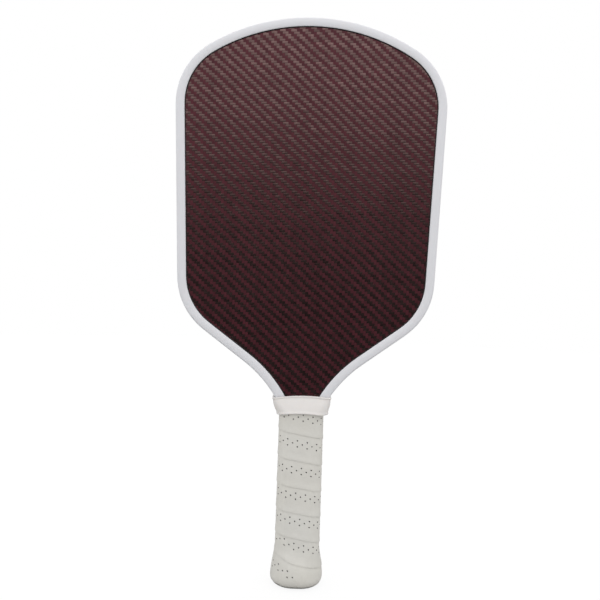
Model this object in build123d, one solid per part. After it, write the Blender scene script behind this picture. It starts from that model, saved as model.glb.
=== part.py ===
from build123d import *
import math
import os

# Pickleball paddle, millimetres. +Z runs up the paddle from the middle of the butt's flat end,
# X is the paddle's width and Y its thickness, with the front face towards -Y.

# Outline of the sandwich panel: top arc, shoulder, straight side, hip, straight slope, throat arc.
PANEL_TOP_Z = 410.25
PANEL_HALF_WIDTH = 96.8
TOP_RADIUS = 141.0
SHOULDER_RADIUS = 48.0
SIDE_TAPER = math.radians(2.4)
SIDE_LENGTH = 125.0
HIP_RADIUS = 48.0
SLOPE_ANGLE = math.radians(36.3)
SLOPE_LENGTH = 37.5
THROAT_RADIUS = 93.0
TONGUE_WIDTH = 26.0
TONGUE_BOTTOM_Z = 5.0

# Layers of the panel, from the middle outwards.
CORE_THICKNESS = 14.4
SCRIM_THICKNESS = 0.2
FILM_THICKNESS = 0.1
SKIN_THICKNESS = 0.5
CORE_HALF = CORE_THICKNESS / 2
SCRIM_OUT = CORE_HALF + SCRIM_THICKNESS
FILM_OUT = SCRIM_OUT + FILM_THICKNESS
PANEL_HALF = FILM_OUT + SKIN_THICKNESS

# Honeycomb cells.
CELL_PITCH = 8.0
CELL_WALL = 0.4

# Edge guard, a channel round the head, and the adhesive between it and the panel.
GLUE = 0.15
GUARD_WEB = 1.7
GUARD_FLANGE = 1.2
GUARD_LIP = 4.85
GUARD_LIP_HEIGHT = 0.4
GUARD_LIP_ROUND = 0.45
GUARD_LIP_THINNER = 0.45
GUARD_DOME_TOP_IN = 2.0
GUARD_DOME_END = (0.5, 0.3)
GUARD_SHOULDER = (1.45, 1.2)
GUARD_CROWN_DROP = 0.15
GUARD_CROWN_HALF = 6.8
GUARD_END_Z = 132.0
GUARD_SPARE = 5.0
BEAD_WIDTH = 0.75
BEAD_HEIGHT = 0.35

# Handle section over the pallets: a rounded rectangle, reduced where the butt cap slips on.
HANDLE_WIDTH = 29.0
HANDLE_DEPTH = 26.4
HANDLE_CORNER = 7.2
REBATE = 0.7
PALLET_BOTTOM_Z = 5.0
PALLET_TOP_Z = 130.5
RAMP_BOTTOM_Z = 126.0
RAMP_DEPTH_LOSS = 3.6

# Butt cap: its flare under the tape, and the rounding of the butt's edge over the tape.
CAP_TOP_Z = 30.0
CAP_WIDEST_Z = 7.0
CAP_FLARE_WIDTH = 2.8
CAP_FLARE_DEPTH = 3.15
CAP_CORNER_GAIN = 7.75
FLARE_STEPS = 6
BUTT_ROUND = 6.9
RIM_TOP_Z = 2.6

# Staples that hold the butt cap, one in the front and one in the back.
STAPLE_Z = 21.0
STAPLE_CROWN = 10.0
STAPLE_WIRE = 0.6
STAPLE_STRIP = 1.0
STAPLE_LEG = 4.0
STAPLE_SINK = 0.7

# Grip tape and the finishing tape over its upper end.
TAPE_THICKNESS = 1.85
TAPE_TOP_Z = 128.8
END_TAPE_THICKNESS = 0.2
END_TAPE_BOTTOM_Z = 126.6

# Grip collar: its inner section at a few heights, as (z, half width, half depth, corner radius).
COLLAR_SECTIONS = (
    (120.0, 16.75, 15.4, 8.2),
    (126.5, 17.95, 15.3, 8.0),
    (131.5, 19.4, 13.3, 6.0),
    (136.0, 20.6, 10.9, 3.4),
    (141.0, 21.6, 9.6, 2.4),
)
COLLAR_WALL = 1.3
COLLAR_ROLL = 0.35
COLLAR_ROLL_HEIGHT = 1.6
COLLAR_BEAD = 0.6
COLLAR_BEAD_HEIGHT = 1.0
COLLAR_TOP_Z = 138.3
COLLAR_BOTTOM_Z = 125.8
COLLAR_TOP_ARCH = 85.0
COLLAR_BOTTOM_ARCH = 90.0

BIG = 500.0


def normal(angle):
    """Unit vector in the panel's plane, turned clockwise by angle from straight up."""
    return Vector(math.sin(angle), math.cos(angle))


def outline_centres():
    """Arc centres and the turning angles where the arcs meet, for the panel's right half."""
    top_centre = Vector(0, PANEL_TOP_Z - TOP_RADIUS)
    reach = TOP_RADIUS - SHOULDER_RADIUS
    across = PANEL_HALF_WIDTH - SHOULDER_RADIUS
    shoulder_centre = top_centre + Vector(across, math.sqrt(reach**2 - across**2))
    shoulder_start = math.asin(across / reach)
    side_turn = math.pi / 2 + SIDE_TAPER
    side_start = shoulder_centre + normal(side_turn) * SHOULDER_RADIUS
    side_end = side_start + Vector(-math.sin(SIDE_TAPER), -math.cos(SIDE_TAPER)) * SIDE_LENGTH
    hip_centre = side_end - normal(side_turn) * HIP_RADIUS
    slope_turn = math.pi - SLOPE_ANGLE
    slope_start = hip_centre + normal(slope_turn) * HIP_RADIUS
    slope_run = Vector(-math.cos(SLOPE_ANGLE), -math.sin(SLOPE_ANGLE)) * SLOPE_LENGTH
    throat_centre = slope_start + slope_run + normal(slope_turn) * THROAT_RADIUS
    return (
        top_centre,
        shoulder_centre,
        hip_centre,
        throat_centre,
        shoulder_start,
        side_turn,
        slope_turn,
    )


def arc(centre, radius, first, last):
    """Arc from turning angle first to last round centre; a negative radius bends the other way."""
    points = [centre + normal(a) * radius for a in (first, (first + last) / 2, last)]
    return ThreePointArc(*[(p.X, p.Y) for p in points])


def turn_at_width(half_width):
    """Turning angle at which the panel's throat arc reaches half_width."""
    throat_centre = outline_centres()[3]
    return math.pi - math.asin((throat_centre.X - half_width) / THROAT_RADIUS)


def turn_at_height(z):
    """Turning angle at which the panel's throat arc comes down to z."""
    throat_centre = outline_centres()[3]
    return math.acos((throat_centre.Y - z) / THROAT_RADIUS)


def right_outline(end_turn):
    """Edges of the right half of the head, from the top down to end_turn on the throat arc."""
    top, shoulder, hip, throat, shoulder_start, side_turn, slope_turn = outline_centres()
    top_arc = arc(top, TOP_RADIUS, 0, shoulder_start)
    shoulder_arc = arc(shoulder, SHOULDER_RADIUS, shoulder_start, side_turn)
    hip_arc = arc(hip, HIP_RADIUS, side_turn, slope_turn)
    throat_arc = arc(throat, -THROAT_RADIUS, slope_turn, end_turn)
    side = Line(shoulder_arc @ 1, hip_arc @ 0)
    slope = Line(hip_arc @ 1, throat_arc @ 0)
    return [top_arc, shoulder_arc, side, hip_arc, slope, throat_arc]


def mirrored(edges):
    """The edges with their mirror images across the paddle's centre line."""
    return edges + [edge.mirror(Plane.YZ) for edge in edges]


def panel_outline():
    """Closed outline of the head with its tongue down into the handle, as a flat face."""
    half = TONGUE_WIDTH / 2
    edges = right_outline(turn_at_width(half))
    neck = edges[-1] @ 1
    edges.append(Line(neck, (half, TONGUE_BOTTOM_Z)))
    edges.append(Line((half, TONGUE_BOTTOM_Z), (0, TONGUE_BOTTOM_Z)))
    return Face(Wire(mirrored(edges)))


def upright(flat):
    """A face drawn in XY, stood up so that its second axis points up the paddle."""
    return Plane.XZ * flat


def plate(face, near, far):
    """The upright face given thickness from y = near to y = far."""
    return extrude(Pos(0, near, 0) * upright(face), far - near, dir=(0, 1, 0))


def below(z):
    return Pos(0, 0, z) * Box(BIG, BIG, BIG, align=(Align.CENTER, Align.CENTER, Align.MAX))


def above(z):
    return Pos(0, 0, z) * Box(BIG, BIG, BIG, align=(Align.CENTER, Align.CENTER, Align.MIN))


def cell_centres():
    """Centres of the honeycomb cells in a triangular grid that covers the panel."""
    rise = CELL_PITCH * math.sqrt(3) / 2
    rows = int(PANEL_TOP_Z / rise) + 1
    columns = int(PANEL_HALF_WIDTH / CELL_PITCH) + 2
    for row in range(rows):
        shift = CELL_PITCH / 2 * (row % 2)
        for column in range(-columns, columns + 1):
            yield Vector(column * CELL_PITCH + shift, row * rise)


def honeycomb_core():
    """Hexagonal cells cut to the panel's outline, open where the outline crosses them."""
    outline = panel_outline()
    border = outline.outer_wire()
    hexagon = RegularPolygon(
        (CELL_PITCH - CELL_WALL) / 2, 6, major_radius=False, rotation=30
    ).face()
    corner_reach = CELL_PITCH / math.sqrt(3)
    whole = []
    cut = []
    for centre in cell_centres():
        gap = border.distance_to(Vertex(centre.X, centre.Y, 0))
        if gap < corner_reach:
            cut.append(Pos(centre.X, centre.Y) * hexagon)
        elif outline.is_inside(Vector(centre.X, centre.Y, 0)):
            whole.append((Pos(centre.X, centre.Y) * hexagon).outer_wire())
    comb = Face(border, whole) - cut
    walls = max(comb.faces(), key=lambda face: face.area)
    return plate(walls, -CORE_HALF, CORE_HALF)


def layer(near, far, side):
    """One flat layer of the panel, near and far from the middle, on side -1 front or +1 back."""
    low, high = sorted((side * near, side * far))
    return plate(panel_outline(), low, high)


def guard_path():
    """The panel's edge from one throat, round the top, to the other, past the guard's ends."""
    edges = right_outline(turn_at_height(GUARD_END_Z - GUARD_SPARE))
    return upright(Wire(mirrored(edges)))


def swept(section):
    """A section drawn as (outward, thickness) swept round the guard's path and cut off level."""
    path = guard_path()
    start = path @ 0
    along = path % 0
    outward = along.cross(Vector(0, 1, 0))
    if outward.X * start.X < 0:
        outward = outward * -1
    section_plane = Plane(origin=start, x_dir=outward, z_dir=along)
    return sweep(section_plane * section, path=path) & above(GUARD_END_Z)


def guard_profile():
    """Section of the edge guard: crowned web, rounded shoulders, domed flanges with lips."""
    flange_in = PANEL_HALF + GLUE
    flange_out = flange_in + GUARD_FLANGE
    web_out = GLUE + GUARD_WEB
    lip_out = flange_in + GUARD_LIP_HEIGHT
    lip_top = flange_out - GUARD_LIP_THINNER
    crown_out = web_out - GUARD_CROWN_DROP
    dome_out, dome_drop = GUARD_DOME_END
    shoulder_out, shoulder_drop = GUARD_SHOULDER

    def half(sign):
        """Half of the section, from the middle of the web's inside to the crown's edge."""
        points = [
            (GLUE, 0),
            (GLUE, sign * flange_in),
            (-GUARD_LIP, sign * flange_in),
            (-GUARD_LIP, sign * lip_out),
            (GUARD_LIP_ROUND - GUARD_LIP, sign * lip_top),
        ]
        dome_end = (dome_out, sign * (flange_out - dome_drop))
        dome = ThreePointArc(points[-1], (-GUARD_DOME_TOP_IN, sign * flange_out), dome_end)
        shoulder = ThreePointArc(
            dome_end,
            (shoulder_out, sign * (flange_out - shoulder_drop)),
            (crown_out, sign * GUARD_CROWN_HALF),
        )
        return Polyline(*points).edges() + [dome, shoulder]

    crown = ThreePointArc(
        (crown_out, -GUARD_CROWN_HALF), (web_out, 0), (crown_out, GUARD_CROWN_HALF)
    )
    return Face(Wire(half(1) + half(-1) + [crown]))


def edge_guard():
    return swept(guard_profile())


def edge_adhesive():
    """Thin layer inside the guard, with a bead along each lip of the guard."""
    inner = PANEL_HALF
    outer = PANEL_HALF + GLUE
    bead_foot = -GUARD_LIP - BEAD_WIDTH
    points = []
    for sign in (1, -1):
        side = [
            (GLUE, sign * outer),
            (-GUARD_LIP, sign * outer),
            (-GUARD_LIP, sign * (inner + BEAD_HEIGHT)),
            (bead_foot, sign * (inner + GLUE)),
            (bead_foot, sign * inner),
            (0, sign * inner),
        ]
        points += side if sign > 0 else side[::-1]
    return swept(make_face(Polyline(*points, close=True)).face())


def rounded_section(z, half_width, half_depth, corner):
    return Pos(0, 0, z) * RectangleRounded(2 * half_width, 2 * half_depth, corner).face()


def handle_section(z, grow):
    return rounded_section(z, HANDLE_WIDTH / 2 + grow, HANDLE_DEPTH / 2 + grow, HANDLE_CORNER + grow)


def straight_handle(bottom, top, grow):
    return extrude(handle_section(bottom, grow), top - bottom, dir=(0, 0, 1))


def ramp_cut(grow):
    """Two wedges that thin the handle's upper end, front and back, to meet the panel."""
    outer = HANDLE_DEPTH / 2 + grow
    rise = PALLET_TOP_Z - RAMP_BOTTOM_Z
    wedges = []
    for side in (-1, 1):
        corners = [
            (side * outer, RAMP_BOTTOM_Z),
            (side * (outer - 2 * RAMP_DEPTH_LOSS), RAMP_BOTTOM_Z + 2 * rise),
            (side * (outer + 2 * RAMP_DEPTH_LOSS), RAMP_BOTTOM_Z + 2 * rise),
            (side * (outer + 2 * RAMP_DEPTH_LOSS), RAMP_BOTTOM_Z),
        ]
        flat = make_face(Polyline(*corners, close=True)).face()
        wedges.append(extrude(Plane.YZ * flat, BIG / 2, dir=(1, 0, 0), both=True))
    return wedges


def flared_section(z, grow):
    """Handle section at height z, wider and rounder towards the butt, moved out by grow."""
    t = min(max((CAP_TOP_Z - z) / (CAP_TOP_Z - CAP_WIDEST_Z), 0), 1)
    share = t * t * (3 - 2 * t)
    half_width = HANDLE_WIDTH / 2 + CAP_FLARE_WIDTH * share
    half_depth = HANDLE_DEPTH / 2 + CAP_FLARE_DEPTH * share
    corner = HANDLE_CORNER + CAP_CORNER_GAIN * share
    return rounded_section(z, half_width + grow, half_depth + grow, corner + grow)


def rounded_foot(grow):
    """The butt's widest part with its lower edge rounded, up to CAP_WIDEST_Z."""
    bottom = TAPE_THICKNESS - grow
    block = extrude(flared_section(bottom, grow), CAP_WIDEST_Z - bottom, dir=(0, 0, 1))
    return fillet(block.edges().group_by(Axis.Z)[0], BUTT_ROUND - bottom)


def flare_solid(grow):
    """The flared foot of the handle up to the top of the cap's skirt."""
    span = CAP_TOP_Z - CAP_WIDEST_Z
    heights = [CAP_WIDEST_Z + span * i / FLARE_STEPS for i in range(FLARE_STEPS + 1)]
    return loft([flared_section(z, grow) for z in heights]) + rounded_foot(grow)


def staple(side):
    """A wire staple with its crown along X and its legs driven in towards the tongue."""
    crown_out = HANDLE_DEPTH / 2 - REBATE + STAPLE_SINK + STAPLE_WIRE
    crown_box = Box(STAPLE_CROWN, STAPLE_WIRE, STAPLE_STRIP)
    crown = Pos(0, crown_out - STAPLE_WIRE / 2, STAPLE_Z) * crown_box
    leg = Box(STAPLE_WIRE, STAPLE_LEG, STAPLE_STRIP)
    leg_y = crown_out - STAPLE_WIRE - STAPLE_LEG / 2
    leg_x = (STAPLE_CROWN - STAPLE_WIRE) / 2
    body = crown + Pos(leg_x, leg_y, STAPLE_Z) * leg + Pos(-leg_x, leg_y, STAPLE_Z) * leg
    return body if side > 0 else Rot(0, 0, 180) * body


def butt_cap_staples():
    return Compound([staple(-1), staple(1)])


def staple_slot(side):
    """The opening in the cap's skirt that a staple's crown is driven through."""
    depth = CAP_FLARE_DEPTH + REBATE
    start = HANDLE_DEPTH / 2 - REBATE + STAPLE_SINK
    slot = Pos(0, side * (start + depth / 2), STAPLE_Z) * Box(STAPLE_CROWN, depth, STAPLE_STRIP)
    return slot + staple(side)


def rebated_foot():
    """The part of the pallets that goes into the butt cap."""
    return straight_handle(PALLET_BOTTOM_Z, CAP_TOP_Z, -REBATE)


def butt_cap():
    """Moulded cap with a flat end, a rounded rim flush with the tape and a flared skirt."""
    rim = rounded_foot(TAPE_THICKNESS) & below(RIM_TOP_Z)
    return rim + flare_solid(0) - rebated_foot() - staple_slot(-1) - staple_slot(1)


def handle_pallet(side):
    """Half-shell that thickens the tongue on one side and meets the other half at y = 0."""
    full = straight_handle(CAP_TOP_Z, PALLET_TOP_Z, 0) + rebated_foot()
    half_space = Pos(0, side * BIG / 2, 0) * Box(BIG, BIG, BIG)
    panel = plate(panel_outline(), -PANEL_HALF, PANEL_HALF)
    return (full & half_space) - panel - ramp_cut(0) - staple(side)


def wrapped_handle(grow):
    """Handle and flare, grown outwards, from the cap's rim up to the pallets' top."""
    body = straight_handle(CAP_TOP_Z, PALLET_TOP_Z, grow) + flare_solid(grow)
    return (body - ramp_cut(grow)) & above(RIM_TOP_Z)


def grip_tape():
    """The wound tape as one even sleeve over the pallets and the butt cap's flare."""
    return (wrapped_handle(TAPE_THICKNESS) - wrapped_handle(0)) & below(TAPE_TOP_Z)


def grip_end_tape():
    """Thin band over the upper end of the grip tape."""
    outer = wrapped_handle(TAPE_THICKNESS + END_TAPE_THICKNESS)
    band = outer - wrapped_handle(TAPE_THICKNESS)
    return band & below(TAPE_TOP_Z) & above(END_TAPE_BOTTOM_Z)


def collar_loft(grow):
    """The collar's inner space, moved out by grow."""
    return loft([rounded_section(z, w + grow, d + grow, r + grow) for z, w, d, r in COLLAR_SECTIONS])


def arched_below(z, radius):
    """Everything under a surface that is highest at z over the middle of the faces."""
    disc = Pos(0, 0, z - radius) * upright(Circle(radius).face())
    return extrude(disc, BIG / 2, dir=(0, 1, 0), both=True)


def collar_band(grow, bottom, top):
    """A band of the collar between two arched edges."""
    upper = arched_below(top, COLLAR_TOP_ARCH)
    lower = arched_below(bottom, COLLAR_BOTTOM_ARCH)
    return (collar_loft(grow) & upper) - lower


def grip_collar():
    """Stretched rubber band with a bead at its upper edge and a rolled lower edge."""
    body = collar_band(COLLAR_WALL, COLLAR_BOTTOM_Z, COLLAR_TOP_Z)
    bead_bottom = arched_below(COLLAR_TOP_Z - COLLAR_BEAD_HEIGHT, COLLAR_TOP_ARCH)
    bead = collar_band(COLLAR_WALL + COLLAR_BEAD, COLLAR_BOTTOM_Z, COLLAR_TOP_Z) - bead_bottom
    roll_top = arched_below(COLLAR_BOTTOM_Z + COLLAR_ROLL_HEIGHT, COLLAR_BOTTOM_ARCH)
    roll = collar_band(COLLAR_WALL + COLLAR_ROLL, COLLAR_BOTTOM_Z, COLLAR_TOP_Z) & roll_top
    return body + bead + roll - collar_loft(0)


PIECES = {
    "honeycomb_core": honeycomb_core,
    "core_scrim_front": lambda: layer(CORE_HALF, SCRIM_OUT, -1),
    "core_scrim_back": lambda: layer(CORE_HALF, SCRIM_OUT, 1),
    "bond_film_front": lambda: layer(SCRIM_OUT, FILM_OUT, -1),
    "bond_film_back": lambda: layer(SCRIM_OUT, FILM_OUT, 1),
    "front_skin": lambda: layer(FILM_OUT, PANEL_HALF, -1),
    "back_skin": lambda: layer(FILM_OUT, PANEL_HALF, 1),
    "edge_adhesive": edge_adhesive,
    "edge_guard": edge_guard,
    "handle_pallet_front": lambda: handle_pallet(-1),
    "handle_pallet_back": lambda: handle_pallet(1),
    "butt_cap": butt_cap,
    "butt_cap_staples": butt_cap_staples,
    "grip_tape": grip_tape,
    "grip_end_tape": grip_end_tape,
    "grip_collar": grip_collar,
}

os.makedirs("parts", exist_ok=True)
for name, make in PIECES.items():
    piece = make()
    piece.label = name
    export_step(piece, f"parts/{name}.step")
    print(name, "volume", round(piece.volume, 1), "solids", len(piece.solids()), flush=True)
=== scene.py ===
import math

import bmesh
import bpy
from bpy.props import (
    FloatProperty,
    FloatVectorProperty,
    IntProperty,
    PointerProperty,
)
from mathutils import Matrix, Vector, noise


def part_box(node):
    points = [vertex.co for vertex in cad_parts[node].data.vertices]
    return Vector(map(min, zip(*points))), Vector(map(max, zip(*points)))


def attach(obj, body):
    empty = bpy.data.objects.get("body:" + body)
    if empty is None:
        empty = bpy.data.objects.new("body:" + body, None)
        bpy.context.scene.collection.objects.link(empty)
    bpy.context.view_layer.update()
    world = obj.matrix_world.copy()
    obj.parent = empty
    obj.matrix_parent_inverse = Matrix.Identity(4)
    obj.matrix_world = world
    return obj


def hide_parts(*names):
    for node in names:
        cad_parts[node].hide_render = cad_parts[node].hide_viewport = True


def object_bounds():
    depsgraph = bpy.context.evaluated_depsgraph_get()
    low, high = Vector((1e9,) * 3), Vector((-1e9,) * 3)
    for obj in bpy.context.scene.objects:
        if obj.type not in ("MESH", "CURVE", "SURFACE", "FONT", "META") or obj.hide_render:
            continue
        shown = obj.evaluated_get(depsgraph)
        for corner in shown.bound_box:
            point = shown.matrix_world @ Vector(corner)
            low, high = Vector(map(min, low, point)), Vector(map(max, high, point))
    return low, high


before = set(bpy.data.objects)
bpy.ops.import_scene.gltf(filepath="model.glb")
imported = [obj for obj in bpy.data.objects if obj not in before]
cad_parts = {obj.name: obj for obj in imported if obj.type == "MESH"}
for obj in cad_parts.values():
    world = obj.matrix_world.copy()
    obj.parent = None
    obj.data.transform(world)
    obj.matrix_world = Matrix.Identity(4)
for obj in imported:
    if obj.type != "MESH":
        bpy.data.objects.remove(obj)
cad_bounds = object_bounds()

bl_info = {
    "name": "Pickleball Paddle",
    "version": (1, 0, 0),
    "blender": (4, 5, 0),
    "location": "View3D > Sidebar > Paddle",
    "description": "Grip, collar, finishes and studio for a pickleball paddle",
    "category": "Object",
}

MM = 0.001
BODY = "root"

# Handle section over the pallets, in millimetres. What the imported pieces' boxes tell is read from
# them: the half width and depth, the flare of the butt, and where the tape and collar end.
pallet_low, pallet_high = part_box("handle_pallet_front")
_, cap_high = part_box("butt_cap")
tape_low, tape_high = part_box("grip_tape")
_, collar_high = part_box("grip_collar")
HALF_WIDTH = pallet_high.x / MM
HALF_DEPTH = -pallet_low.y / MM
CORNER = 7.2
CORNER_GAIN = 7.75
SLEEVE = 1.85
FLARE_WIDTH = tape_high.x / MM - HALF_WIDTH - SLEEVE
FLARE_DEPTH = -tape_low.y / MM - HALF_DEPTH - SLEEVE
FLARE_TOP = cap_high.z / MM
FLARE_WIDEST = 7.0
BUTT_ROUND = 6.9
RIM_TOP = tape_low.z / MM
TAPE_TOP = tape_high.z / MM
RAMP_BOTTOM = 126.0
RAMP_RUN = 4.5
RAMP_LOSS = 3.6


def linear(hex_colour):
    """An sRGB hex colour as linear red, green and blue."""
    parts = [int(hex_colour[i : i + 2], 16) / 255 for i in (0, 2, 4)]
    return tuple(c / 12.92 if c <= 0.04045 else ((c + 0.055) / 1.055) ** 2.4 for c in parts)


def smooth(low, high, value):
    """0 below low, 1 above high, and an eased step between."""
    t = min(max((value - low) / (high - low), 0.0), 1.0)
    return t * t * (3 - 2 * t)


# ---------------------------------------------------------------- settings


class FaceSettings(bpy.types.PropertyGroup):
    tow_across: FloatProperty(
        name="Tow width across",
        description="Width of one upright aramid tow in the twill",
        default=2.03 * MM,
        subtype="DISTANCE",
        unit="LENGTH",
    )
    tow_up: FloatProperty(
        name="Tow width up",
        description="Width of one level carbon tow in the twill",
        default=1.775 * MM,
        subtype="DISTANCE",
        unit="LENGTH",
    )
    aramid: FloatVectorProperty(
        name="Aramid",
        description="Colour of the dyed aramid tows",
        subtype="COLOR",
        default=linear("451A22"),
    )
    carbon: FloatVectorProperty(
        name="Carbon",
        description="Colour of the carbon tows",
        subtype="COLOR",
        default=linear("735C5A"),
    )


class GuardSettings(bpy.types.PropertyGroup):
    plastic: FloatVectorProperty(
        name="Guard",
        description="Colour of the edge guard",
        subtype="COLOR",
        default=linear("E8E8EC"),
    )
    # Painted shadow: this near-black stands partly for the adhesive and partly for the shade in the gap under
    # the guard's lip.
    adhesive: FloatVectorProperty(
        name="Adhesive",
        description="Colour of the adhesive bead inside the guard",
        subtype="COLOR",
        default=linear("120D0E"),
    )


class GripSettings(bpy.types.PropertyGroup):
    tape_width: FloatProperty(
        name="Tape width",
        description="Full width of the grip tape before it is overlapped",
        default=24.8 * MM,
        subtype="DISTANCE",
        unit="LENGTH",
    )
    pitch: FloatProperty(
        name="Winding pitch",
        description="Rise of the winding for each turn, near the butt",
        default=17.9 * MM,
        subtype="DISTANCE",
        unit="LENGTH",
    )
    hole_diameter: FloatProperty(
        name="Perforation",
        description="Diameter of the punched holes",
        default=1.05 * MM,
        subtype="DISTANCE",
        unit="LENGTH",
    )
    hole_period: FloatProperty(
        name="Perforation spacing",
        description="Distance between holes along one row",
        default=7.1 * MM,
        subtype="DISTANCE",
        unit="LENGTH",
    )
    row_spacing: FloatProperty(
        name="Row spacing",
        description="Distance between rows of holes",
        default=2.15 * MM,
        subtype="DISTANCE",
        unit="LENGTH",
    )
    leather: FloatVectorProperty(
        name="Grip",
        description="Colour of the tape",
        subtype="COLOR",
        default=linear("E4E3DE"),
    )
    seed: IntProperty(
        name="Seed",
        description="Choice of the small wrinkles",
        default=7,
    )


class CollarSettings(bpy.types.PropertyGroup):
    wall: FloatProperty(
        name="Wall",
        description="Thickness of the rubber band",
        default=1.3 * MM,
        subtype="DISTANCE",
        unit="LENGTH",
    )
    rubber: FloatVectorProperty(
        name="Rubber",
        description="Colour of the collar",
        subtype="COLOR",
        default=linear("EBE7E4"),
    )


class StudioSettings(bpy.types.PropertyGroup):
    camera_distance: FloatProperty(
        name="Camera distance",
        description="From the camera to the middle of the paddle's thickness",
        default=0.5,
        subtype="DISTANCE",
        unit="LENGTH",
    )
    camera_height: FloatProperty(
        name="Camera height",
        description="Height of the camera over the floor",
        default=0.20705,
        subtype="DISTANCE",
        unit="LENGTH",
    )
    camera_side: FloatProperty(
        name="Camera side",
        description="Distance of the camera to the left of the paddle's middle",
        default=0.0037,
        subtype="DISTANCE",
        unit="LENGTH",
    )
    camera_roll: FloatProperty(
        name="Camera roll",
        description="Tilt of the camera about its own line of sight",
        default=math.radians(1.89),
        subtype="ANGLE",
        unit="ROTATION",
    )
    lens: FloatProperty(
        name="Lens",
        description="Focal length for a 36 mm sensor",
        default=40.785,
        subtype="DISTANCE_CAMERA",
    )
    dome: FloatProperty(
        name="Dome",
        description="Strength of the soft light from above",
        default=1.12,
    )


# ---------------------------------------------------------------- node helper


def add(tree, kind, feeds=(), **settings):
    """Adds a node, sets its properties and input values, and links other sockets into it.

    feeds is a list of (input name or index, output socket or value). A setting named in_X sets
    input X.
    """
    node = tree.nodes.new(kind)
    for name, value in settings.items():
        if name.startswith("in_"):
            key = name[3:]
            node.inputs[int(key) if key.isdigit() else key.replace("_", " ")].default_value = value
        else:
            setattr(node, name, value)
    for name, source in feeds:
        if isinstance(source, bpy.types.NodeSocket):
            tree.links.new(source, node.inputs[name])
        else:
            node.inputs[name].default_value = source
    return node


def new_material(name):
    """A node material with its output and Principled shader, and its object coordinates in metres."""
    material = bpy.data.materials.new(name)
    material.use_nodes = True
    tree = material.node_tree
    tree.nodes.clear()
    shader = add(tree, "ShaderNodeBsdfPrincipled")
    add(tree, "ShaderNodeOutputMaterial", [("Surface", shader.outputs["BSDF"])])
    place = add(tree, "ShaderNodeTexCoord").outputs["Object"]
    return material, tree, shader, place


# ---------------------------------------------------------------- materials

# Noise and cell scales are in features per metre, except where a mapping node sets them.

# How far the yarns stray in all, in tows, how sharply a tow falls away at its sides and a float at
# its ends, and the share of its height that a float keeps there.
TWILL_WANDER = 0.9
CROWN_POWER = 2.2
FLOAT_POWER = 3.0
FLOAT_END_HEIGHT = 0.3
# Brightness: each pair is the least and the range that is added to it.
TOW_TONES = (0.65, 0.28)
FILAMENT_TONES = (0.65, 0.7)
# Painted shade: the tows are drawn darker where they fall away at their sides and where a float dives under.
HEIGHT_TONES = (0.84, 0.18)
CELL_TONES = 0.32
# Depth of the yarns' relief, and the share that the filaments add to it.
TWILL_RELIEF = 0.026 * MM
FILAMENT_RELIEF = 0.12
# Carbon yarn is drawn almost as a metal: it mirrors the light like one, in grey.
CARBON_METAL = 0.97
CARBON_ROUGHNESS = 0.18
ARAMID_EXTRA_ROUGHNESS = 0.20


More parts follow.
